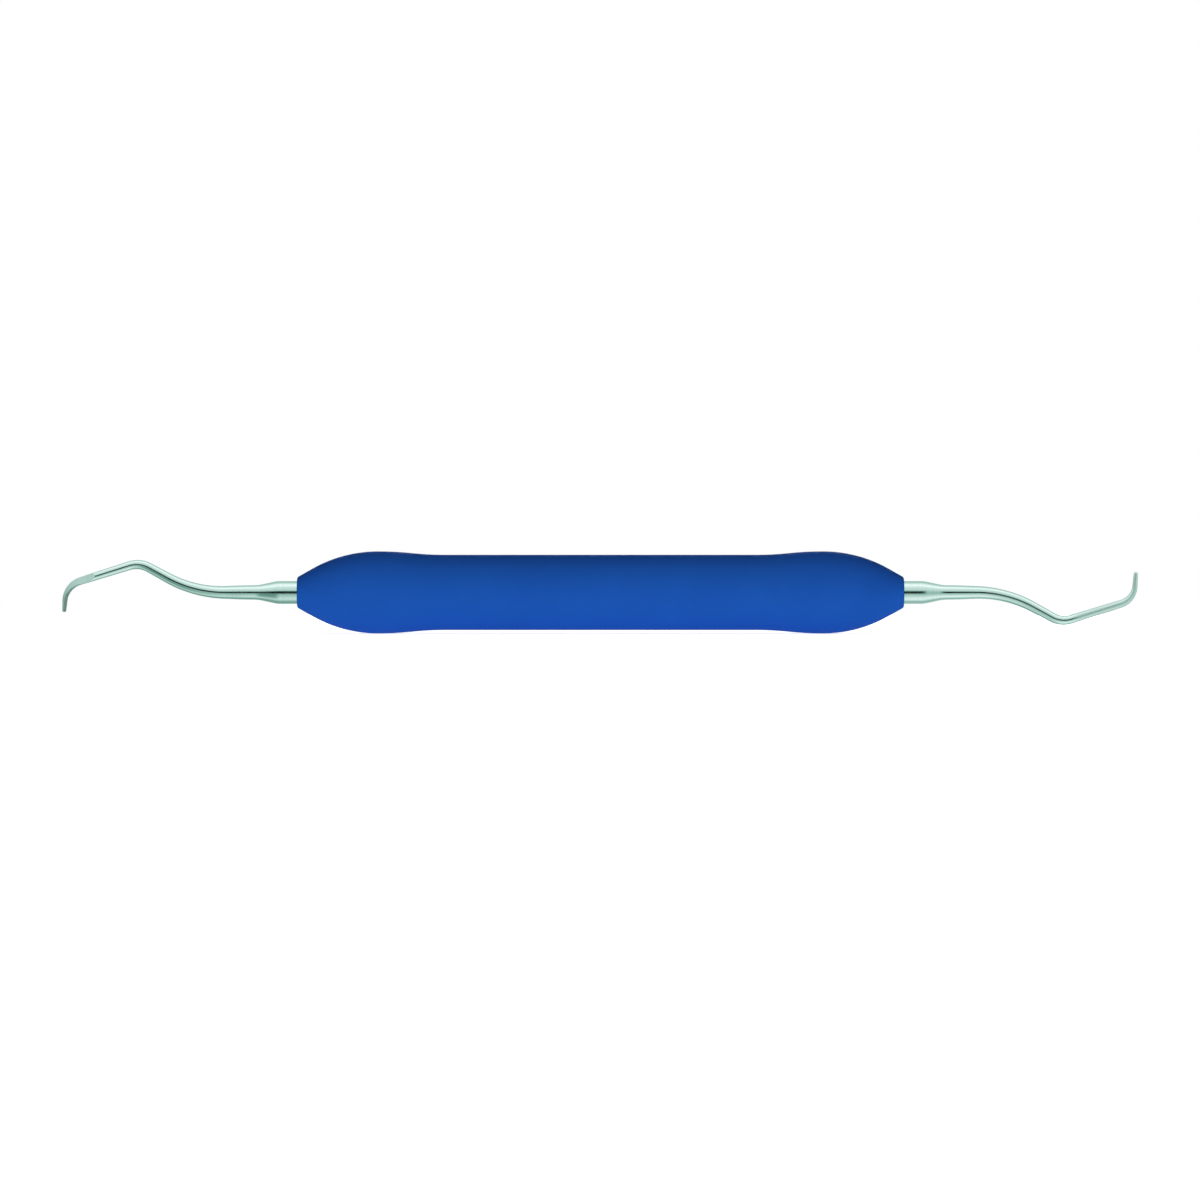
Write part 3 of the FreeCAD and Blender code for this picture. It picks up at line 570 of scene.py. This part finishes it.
# Lengths are in millimetres and angles in degrees. Outside of one half, from the middle of the handle.
GRIP = {"half": 48.0, "face_radius": 2.4, "cone_top": 45.6, "crest": 35.2, "crest_radius": 6.5,
        "waist_end": 24.5, "waist_radius": 5.95, "bore_radius": 3.02, "lip": 45.0, "lip_radius": 1.82}
END_ROUNDING, LIP_ROUNDING = 0.46, 0.1
END_STEPS, LIP_STEPS = 10, 5
PARTING_HEIGHT, PARTING_WIDTH = 0.03, 0.07
# Points along the outside and round it, and how strongly those round it crowd at the parting lines.
GRIP_STEPS, GRIP_FACETS, CROWDING = 380, 192, 0.8
# Edges sharper than this stay crisp, and closer points become one.
GRIP_CREASE, GRIP_MERGE = 40, 0.001


def end_cone_slope():
    """Slope of the end cone whose tangent arc ends level at the crest."""
    low, high = 0.0, math.pi / 2
    while high - low > 1e-7:
        slope = (low + high) / 2
        climbed = (GRIP["half"] - GRIP["cone_top"]) * math.tan(slope) \
            + (GRIP["cone_top"] - GRIP["crest"]) * math.tan(slope / 2)
        low, high = (slope, high) if climbed < GRIP["crest_radius"] - GRIP["face_radius"] else (low, slope)
    return slope


def grip_radius(x, slope):
    """Outside radius of the grip at a distance from its middle."""
    x = abs(x)
    if x >= GRIP["cone_top"]:
        return GRIP["face_radius"] + (GRIP["half"] - x) * math.tan(slope)
    if x >= GRIP["crest"]:
        arc = (GRIP["cone_top"] - GRIP["crest"]) / math.sin(slope)
        return GRIP["crest_radius"] - arc + math.sqrt(arc ** 2 - (x - GRIP["crest"]) ** 2)
    if x <= GRIP["waist_end"]:
        return GRIP["waist_radius"]
    length, drop = GRIP["crest"] - GRIP["waist_end"], GRIP["crest_radius"] - GRIP["waist_radius"]
    arc = length / math.sin(2 * math.atan2(drop, length)) / 2
    if x > GRIP["crest"] - length / 2:
        return GRIP["crest_radius"] - arc + math.sqrt(arc ** 2 - (GRIP["crest"] - x) ** 2)
    return GRIP["waist_radius"] + arc - math.sqrt(arc ** 2 - (x - GRIP["waist_end"]) ** 2)


def rounded_corner(before, corner, after, radius, steps):
    """Points of an arc that rounds one corner of an outline."""
    corner = Vector(corner)
    back, on = (Vector(before) - corner).normalized(), (Vector(after) - corner).normalized()
    opening = back.angle(on)
    reach = radius / math.tan(opening / 2)
    middle = corner + (back + on).normalized() * radius / math.sin(opening / 2)
    first, last = corner + back * reach - middle, corner + on * reach - middle
    turn = math.pi - opening
    return [tuple(middle + (first * math.sin((1 - t) * turn) + last * math.sin(t * turn)) / math.sin(turn))
            for t in (i / steps for i in range(steps + 1))]


def grip_outline():
    """Closed outline of one side of the sleeve, left to right on its outside, and where it is outside."""
    slope = end_cone_slope()
    half, lip_radius, lip_x, bore = GRIP["half"], GRIP["lip_radius"], GRIP["lip"], GRIP["bore_radius"]
    face = GRIP["face_radius"] - PARTING_HEIGHT
    on_cone = (half - 1, face + math.tan(slope))
    rounded = rounded_corner((half, lip_radius), (half, face), on_cone, END_ROUNDING, END_STEPS)
    lip = rounded_corner((half - 1, lip_radius), (half, lip_radius), (half, face), LIP_ROUNDING, LIP_STEPS)
    places = (rounded[-1][0] * (1 - 2 * i / GRIP_STEPS) for i in range(1, GRIP_STEPS))
    outside = [(x, grip_radius(x, slope) - PARTING_HEIGHT) for x in places]
    inside = [(-lip_x, lip_radius), (-lip_x, bore), (lip_x, bore), (lip_x, lip_radius), lip[0]]
    mirrored = [(-x, r) for x, r in reversed(lip + rounded)]
    outline = lip + rounded + outside + mirrored + inside
    shown = 2 * len(rounded) + len(outside)
    on_outside = [0.0] * len(lip) + [1.0] * shown + [0.0] * (len(lip) + len(inside))
    return outline[::-1], on_outside[::-1]


def turned_shell():
    """Tree that turns an outline about the X axis, with points crowded and raised along the parting lines."""
    tree, given = new_tree("turned_shell", {
        "Facets Around": "NodeSocketInt", "Crowding": "NodeSocketFloat", "Parting Height": "NodeSocketFloat",
        "Parting Width": "NodeSocketFloat", "Rubber": "NodeSocketMaterial"})
    stations = given["Geometry"]
    grid, station, centre, _, share = ring_grid(tree, stations, given["Facets Around"])
    radius, outside = sample_named(tree, stations, station, "FLOAT", "ring_radius", "outside")
    # The points of a ring crowd where it crosses the two parting lines, on the sleeve's top and foot.
    turn = add_node(tree, "ShaderNodeMath", {0: share, 1: 2 * math.pi}, operation="MULTIPLY")
    double_turn = add_node(tree, "ShaderNodeMath", {0: turn, 1: 2.0}, operation="MULTIPLY")
    wave = add_node(tree, "ShaderNodeMath", {0: double_turn}, operation="SINE")
    full_shift = add_node(tree, "ShaderNodeMath", {0: given["Crowding"], 1: wave}, operation="MULTIPLY")
    shift = add_node(tree, "ShaderNodeMath", {0: full_shift, 1: 0.5}, operation="MULTIPLY")
    angle = add_node(tree, "ShaderNodeMath", {0: turn, 1: shift}, operation="SUBTRACT")
    sine = add_node(tree, "ShaderNodeMath", {0: angle}, operation="SINE")
    cosine = add_node(tree, "ShaderNodeMath", {0: angle}, operation="COSINE")
    # The ridge that the parting leaves fades out to both sides as a bell curve.
    aside = add_node(tree, "ShaderNodeMath", {0: radius, 1: sine}, operation="MULTIPLY")
    off_line = add_node(tree, "ShaderNodeMath", {0: aside, 1: given["Parting Width"]}, operation="DIVIDE")
    squared = add_node(tree, "ShaderNodeMath", {0: off_line, 1: off_line}, operation="MULTIPLY")
    falling = add_node(tree, "ShaderNodeMath", {0: squared, 1: -1.0}, operation="MULTIPLY")
    bell = add_node(tree, "ShaderNodeMath", {0: falling}, operation="EXPONENT")
    shown = add_node(tree, "ShaderNodeMath", {0: outside, 1: bell}, operation="MULTIPLY")
    ridge = add_node(tree, "ShaderNodeMath", {0: shown, 1: given["Parting Height"]}, operation="MULTIPLY")
    reach = add_node(tree, "ShaderNodeMath", {0: radius, 1: ridge}, operation="ADD")
    ring = add_node(tree, "ShaderNodeCombineXYZ", {
        "Y": add_node(tree, "ShaderNodeMath", {0: reach, 1: sine}, operation="MULTIPLY"),
        "Z": add_node(tree, "ShaderNodeMath", {0: reach, 1: cosine}, operation="MULTIPLY")})
    position = add_node(tree, "ShaderNodeVectorMath", {0: centre, 1: ring}, operation="ADD")
    shaped = add_node(tree, "GeometryNodeSetPosition", {"Geometry": grid, "Position": position})
    closed = add_node(tree, "GeometryNodeMergeByDistance", {
        "Geometry": shaped, "Distance": GRIP_MERGE / 1000})
    real = add_node(tree, "GeometryNodeRealizeInstances", {
        "Geometry": shade_smooth(tree, closed, GRIP_CREASE)})
    rubber = add_node(tree, "GeometryNodeSetMaterial", {"Geometry": real, "Material": given["Rubber"]})
    add_node(tree, "NodeGroupOutput", {"Geometry": rubber})
    return tree


def matt_silicone():
    """Silicone rubber from a spark-eroded mould: matt, finely grained, smoother where fingers rub it."""
    material, tree = new_material("moulded_silicone_rubber")
    place = add_node(tree, "ShaderNodeTexCoord").outputs["Object"]
    # The eroded grain, 0.1 mm across, is drawn at 0.3 mm, so that it shows.
    grain = add_node(tree, "ShaderNodeTexNoise", {
        "Vector": place, "Scale": 1 / 0.0003, "Detail": 3.0, "Roughness": 0.6})
    # Pigment clouds, about 9 mm across.
    clouds = add_node(tree, "ShaderNodeTexNoise", {"Vector": place, "Scale": 1 / 0.009, "Detail": 2.0})
    # Fingers hold the sleeve on its bulges, up to a centimetre from the crest.
    along = add_node(tree, "ShaderNodeSeparateXYZ", {"Vector": place}).outputs["X"]
    from_middle = add_node(tree, "ShaderNodeMath", {0: along}, operation="ABSOLUTE")
    past_crest = add_node(tree, "ShaderNodeMath", {
        0: from_middle, 1: GRIP["crest"] / 1000}, operation="SUBTRACT")
    from_crest = add_node(tree, "ShaderNodeMath", {0: past_crest}, operation="ABSOLUTE")
    held = add_node(tree, "ShaderNodeMapRange", {
        "Value": from_crest, "From Min": 0.002, "From Max": 0.011, "To Min": 1.0, "To Max": 0.0},
        interpolation_type="SMOOTHSTEP")
    rubbed = add_node(tree, "ShaderNodeMath", {0: held, 1: clouds}, operation="MULTIPLY")
    roughness = add_node(tree, "ShaderNodeMapRange", {
        "Value": rubbed, "From Max": 0.6, "To Min": 0.78, "To Max": 0.64})
    # The grain scatters nearly all of the shine that the rubber would have in a polished mould.
    finish_material(tree, (clouds, linear("#184FA8"), linear("#1C56B1")), roughness,
                    (grain, 0.8, 0.05), {"IOR": 1.41, "Specular IOR Level": 0.03})
    return material


outline, on_outside = grip_outline()
grip_source = loose_points("grip_outline", [(x / 1000, 0, 0) for x, _ in outline], {
    "ring_radius": [radius / 1000 for _, radius in outline], "outside": on_outside})
grip = run_tree(grip_source, turned_shell(), {
    "Facets Around": GRIP_FACETS, "Crowding": CROWDING, "Parting Height": PARTING_HEIGHT / 1000,
    "Parting Width": PARTING_WIDTH / 1000, "Rubber": matt_silicone()}, "silicone_grip_sleeve")
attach(grip, "root")
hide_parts("grip_sleeve")

# ------------------------------------------------------------------ table, light and camera
# A plain white table under the resting instrument, in a soft white tent with a dark opening for the camera.
# The table turns into the white of the room with distance, and keeps the instrument's shadow near it.


def white_for_sight(tree):
    """1 for camera, glossy and transmission rays, and 0 for the rest."""
    rays = add_node(tree, "ShaderNodeLightPath").outputs
    seen = add_node(tree, "ShaderNodeMath", {
        0: rays["Is Camera Ray"], 1: rays["Is Glossy Ray"]}, operation="MAXIMUM")
    return add_node(tree, "ShaderNodeMath", {0: seen, 1: rays["Is Transmission Ray"]}, operation="MAXIMUM")


# Light that the white room adds to matt surfaces.
ROOM_LIGHT = 0.05
world = bpy.data.worlds.new("white_room")
world.use_nodes = True
room_tree = world.node_tree
room_tree.nodes.clear()
room_strength = add_node(room_tree, "ShaderNodeMapRange", {
    "Value": white_for_sight(room_tree), "To Min": ROOM_LIGHT})
room = add_node(room_tree, "ShaderNodeBackground", {"Color": (1, 1, 1, 1), "Strength": room_strength})
add_node(room_tree, "ShaderNodeOutputWorld", {"Surface": room})
bpy.context.scene.world = world

# The tent as polished metal sees it: angle round the handle's axis above the camera's side, in degrees, and
# brightness. The cloth is darker, and a little greener, where less light reaches it.
TENT_CLOTH = (
    (-180, 0.55), (-140, 0.46), (-118, 0.42), (-103, 0.5), (-90, 0.7), (-76, 0.92), (-60, 0.93),
    (-45, 0.82), (-30, 0.7), (-16, 0.66), (16, 0.78), (30, 0.88), (45, 0.93), (58, 1.05), (76, 1.26),
    (90, 1.2), (104, 0.92), (118, 0.74), (135, 0.66), (160, 0.7), (180, 0.55))
FULL_BRIGHTNESS = 1.3
TENT_RADIUS, TENT_HALF_LENGTH = 0.7, 1.4
# Each opening fades out between two heights, in degrees from its middle, and between two places to the side
# of its middle, in metres. Both middles are a little to the left.
LENS_OPENING = {"height": (10, 17), "side": (0.36, 0.64)}
BACK_OPENING = {"height": (7, 14), "side": (0.7, 1.0)}
OPENINGS_TO_LEFT = 0.2
# The shaded corner: where it starts and is full along the handle, in metres, the angle of its middle, how far
# from it the shade starts and is full, in degrees, and how much light it takes.
SHADED_CORNER = {"along": (-0.06, -0.36), "angle": -42, "reach": (42, 14), "takes": 0.54}
# The lighter foot of the wall on the right: the same, with the angles where it starts and is full.
LIGHTER_FOOT = {"along": (-0.05, 0.05), "angles": (-10, -130), "adds": 0.42}
# How the tint of the cloth deepens as it gets darker: powers of the brightness for red and blue.
RED_POWER, BLUE_POWER = 0.48, 0.12


def tent_opening(tree, turned, aside, opening):
    """0 in an opening of the tent and 1 on its cloth."""
    low, high = (math.radians(degrees) for degrees in opening["height"])
    near, far = opening["side"]
    above, beside = (add_node(tree, "ShaderNodeMapRange", {
        "Value": value, "From Min": start, "From Max": end}, interpolation_type="SMOOTHSTEP")
        for value, start, end in ((turned, low, high), (aside, near, far)))
    return add_node(tree, "ShaderNodeMath", {0: above, 1: beside}, operation="MAXIMUM")


def tent_grade(tree, angle):
    """Brightness of the cloth by its angle round the handle, as a share of full brightness."""
    turn = add_node(tree, "ShaderNodeMath", {
        0: angle, 1: 1 / (2 * math.pi), 2: 0.5}, operation="MULTIPLY_ADD")
    grade = add_node(tree, "ShaderNodeFloatCurve", {"Value": turn})
    curve = grade.mapping.curves[0]
    stops = [(degrees / 360 + 0.5, brightness / FULL_BRIGHTNESS) for degrees, brightness in TENT_CLOTH]
    curve.points[0].location, curve.points[1].location = stops[0], stops[-1]
    for stop in stops[1:-1]:
        curve.points.new(*stop)
    grade.mapping.update()
    return grade


def tent_light(tree):
    """Glow of the cloth, with dark openings, a shaded corner on the left and a lighter foot on the right."""
    place = add_node(tree, "ShaderNodeTexCoord").outputs["Object"]
    axes = add_node(tree, "ShaderNodeSeparateXYZ", {"Vector": place}).outputs
    forwards = add_node(tree, "ShaderNodeMath", {0: axes["Y"], 1: -1.0}, operation="MULTIPLY")
    angle = add_node(tree, "ShaderNodeMath", {0: axes["Z"], 1: forwards}, operation="ARCTAN2")
    from_front = add_node(tree, "ShaderNodeMath", {0: angle}, operation="ABSOLUTE")
    from_back = add_node(tree, "ShaderNodeMath", {0: math.pi, 1: from_front}, operation="SUBTRACT")
    off_middle = add_node(tree, "ShaderNodeMath", {0: axes["X"], 1: OPENINGS_TO_LEFT}, operation="ADD")
    aside = add_node(tree, "ShaderNodeMath", {0: off_middle}, operation="ABSOLUTE")
    openings = add_node(tree, "ShaderNodeMath", {
        0: tent_opening(tree, from_front, aside, LENS_OPENING),
        1: tent_opening(tree, from_back, aside, BACK_OPENING)}, operation="MULTIPLY")

    start, full = SHADED_CORNER["along"]
    to_left = add_node(tree, "ShaderNodeMapRange", {
        "Value": axes["X"], "From Min": start, "From Max": full}, interpolation_type="SMOOTHSTEP")
    off_corner = add_node(tree, "ShaderNodeMath", {
        0: angle, 1: math.radians(SHADED_CORNER["angle"])}, operation="SUBTRACT")
    from_corner = add_node(tree, "ShaderNodeMath", {0: off_corner}, operation="ABSOLUTE")
    start, full = (math.radians(degrees) for degrees in SHADED_CORNER["reach"])
    low_down = add_node(tree, "ShaderNodeMapRange", {
        "Value": from_corner, "From Min": start, "From Max": full}, interpolation_type="SMOOTHSTEP")
    in_corner = add_node(tree, "ShaderNodeMath", {0: to_left, 1: low_down}, operation="MULTIPLY")
    shade = add_node(tree, "ShaderNodeMath", {
        0: in_corner, 1: -SHADED_CORNER["takes"], 2: 1.0}, operation="MULTIPLY_ADD")

    start, full = LIGHTER_FOOT["along"]
    to_right = add_node(tree, "ShaderNodeMapRange", {
        "Value": axes["X"], "From Min": start, "From Max": full}, interpolation_type="SMOOTHSTEP")
    start, full = (math.radians(degrees) for degrees in LIGHTER_FOOT["angles"])
    to_foot = add_node(tree, "ShaderNodeMapRange", {
        "Value": angle, "From Min": start, "From Max": full, "To Max": LIGHTER_FOOT["adds"]})
    lift = add_node(tree, "ShaderNodeMath", {0: to_right, 1: to_foot, 2: 1.0}, operation="MULTIPLY_ADD")

    share = tent_grade(tree, angle)
    for part in (openings, shade, lift):
        share = add_node(tree, "ShaderNodeMath", {0: share, 1: part}, operation="MULTIPLY")
    hue = add_node(tree, "ShaderNodeCombineColor", {
        "Red": add_node(tree, "ShaderNodeMath", {0: share, 1: RED_POWER}, operation="POWER"), "Green": 1.0,
        "Blue": add_node(tree, "ShaderNodeMath", {0: share, 1: BLUE_POWER}, operation="POWER")})
    strength = add_node(tree, "ShaderNodeMath", {0: share, 1: FULL_BRIGHTNESS}, operation="MULTIPLY")
    return add_node(tree, "ShaderNodeEmission", {"Color": hue, "Strength": strength})


# The table's glow near the instrument and further off, by distance in metres, and what it lends to matt
# surfaces. A soft shadow this wide round the foot of the instrument takes this share of the glow, which would
# otherwise wash it out.
TABLE_GLOW = {"from": (0.1, 0.82), "to": (0.5, 1.0), "lent": 0.56}
CONTACT_SHADOW = {"width": 0.03, "takes": 0.6}
TABLE_HALF = 4
table_paint, table_tree = new_material("white_painted_table")
table_place = add_node(table_tree, "ShaderNodeTexCoord").outputs["Object"]
distance = add_node(table_tree, "ShaderNodeVectorMath", {0: table_place}, operation="LENGTH")
(near, near_glow), (far, far_glow) = TABLE_GLOW["from"], TABLE_GLOW["to"]
glow = add_node(table_tree, "ShaderNodeMapRange", {
    "Value": distance, "From Min": near, "From Max": far, "To Min": near_glow, "To Max": far_glow},
    interpolation_type="SMOOTHSTEP")
openness = add_node(table_tree, "ShaderNodeAmbientOcclusion", {
    "Distance": CONTACT_SHADOW["width"]}, samples=4).outputs["AO"]
left_over = add_node(table_tree, "ShaderNodeMath", {
    0: openness, 1: CONTACT_SHADOW["takes"], 2: 1 - CONTACT_SHADOW["takes"]}, operation="MULTIPLY_ADD")
shaded_glow = add_node(table_tree, "ShaderNodeMath", {0: glow, 1: left_over}, operation="MULTIPLY")
seen_glow = add_node(table_tree, "ShaderNodeMath", {
    0: white_for_sight(table_tree), 1: shaded_glow}, operation="MULTIPLY")
table_glow = add_node(table_tree, "ShaderNodeMath", {
    0: seen_glow, 1: TABLE_GLOW["lent"]}, operation="MAXIMUM")
paint = add_node(table_tree, "ShaderNodeBsdfDiffuse", {"Color": linear("#F4F4F4")})
light = add_node(table_tree, "ShaderNodeEmission", {"Color": (1, 1, 1, 1), "Strength": table_glow})
lit = add_node(table_tree, "ShaderNodeAddShader", {0: paint, 1: light})
add_node(table_tree, "ShaderNodeOutputMaterial", {"Surface": lit})
table_top = bpy.data.meshes.new("table")
corners = [(TABLE_HALF * x, TABLE_HALF * y, cad_bounds[0].z) for x, y in ((-1, -1), (1, -1), (1, 1), (-1, 1))]
table_top.from_pydata(corners, [], [(0, 1, 2, 3)])
table_top.materials.append(table_paint)
table = new_object("table", table_top)
table.visible_glossy = False

tent_mesh = bpy.data.meshes.new("tent")
tent_form = bmesh.new()
bmesh.ops.create_cone(
    tent_form, cap_ends=True, segments=128, radius1=TENT_RADIUS, radius2=TENT_RADIUS,
    depth=2 * TENT_HALF_LENGTH)
bmesh.ops.rotate(tent_form, verts=tent_form.verts, matrix=Matrix.Rotation(math.pi / 2, 3, "Y"))
tent_form.to_mesh(tent_mesh)
tent_form.free()
tent_cloth, cloth_tree = new_material("graded_tent_cloth")
add_node(cloth_tree, "ShaderNodeOutputMaterial", {"Surface": tent_light(cloth_tree)})
tent_mesh.materials.append(tent_cloth)
tent_wall = new_object("tent", tent_mesh)
for sight in ("camera", "diffuse", "transmission", "shadow"):
    setattr(tent_wall, f"visible_{sight}", False)

# Place and size in metres, and power in watts. They are plain and soft: polished metal doesn't see them.
LIGHTS = {
    "front_softbox": ((0, -1.25, 0.1), (1.0, 0.2), 9.3),
    "back_softbox": ((0, 1.2, 0.5), (1.0, 0.3), 10.0),
    "top_softbox": ((0, 0.1, 0.9), (1.2, 0.5), 0.7),
}
for name, (place, size, power) in LIGHTS.items():
    lamp = bpy.data.lights.new(name, "AREA")
    lamp.shape = "RECTANGLE"
    lamp.size, lamp.size_y = size
    lamp.energy = power
    softbox = new_object(name, lamp)
    softbox.location = place
    softbox.rotation_euler = (-Vector(place)).to_track_quat("-Z", "Y").to_euler()
    softbox.visible_camera = False
    softbox.visible_glossy = False

# A long lens level with the handle, about a metre in front of it.
lens = bpy.data.cameras.new("camera")
lens.lens = 200.0
lens.sensor_width = 36.0
lens.clip_start, lens.clip_end = 0.01, 20.0
camera = new_object("camera", lens)
camera.location = (-0.00008, -1.055, -0.0012)
camera.rotation_euler = (math.pi / 2, 0, 0)
bpy.context.scene.camera = camera
bpy.context.scene.view_settings.view_transform = "Standard"
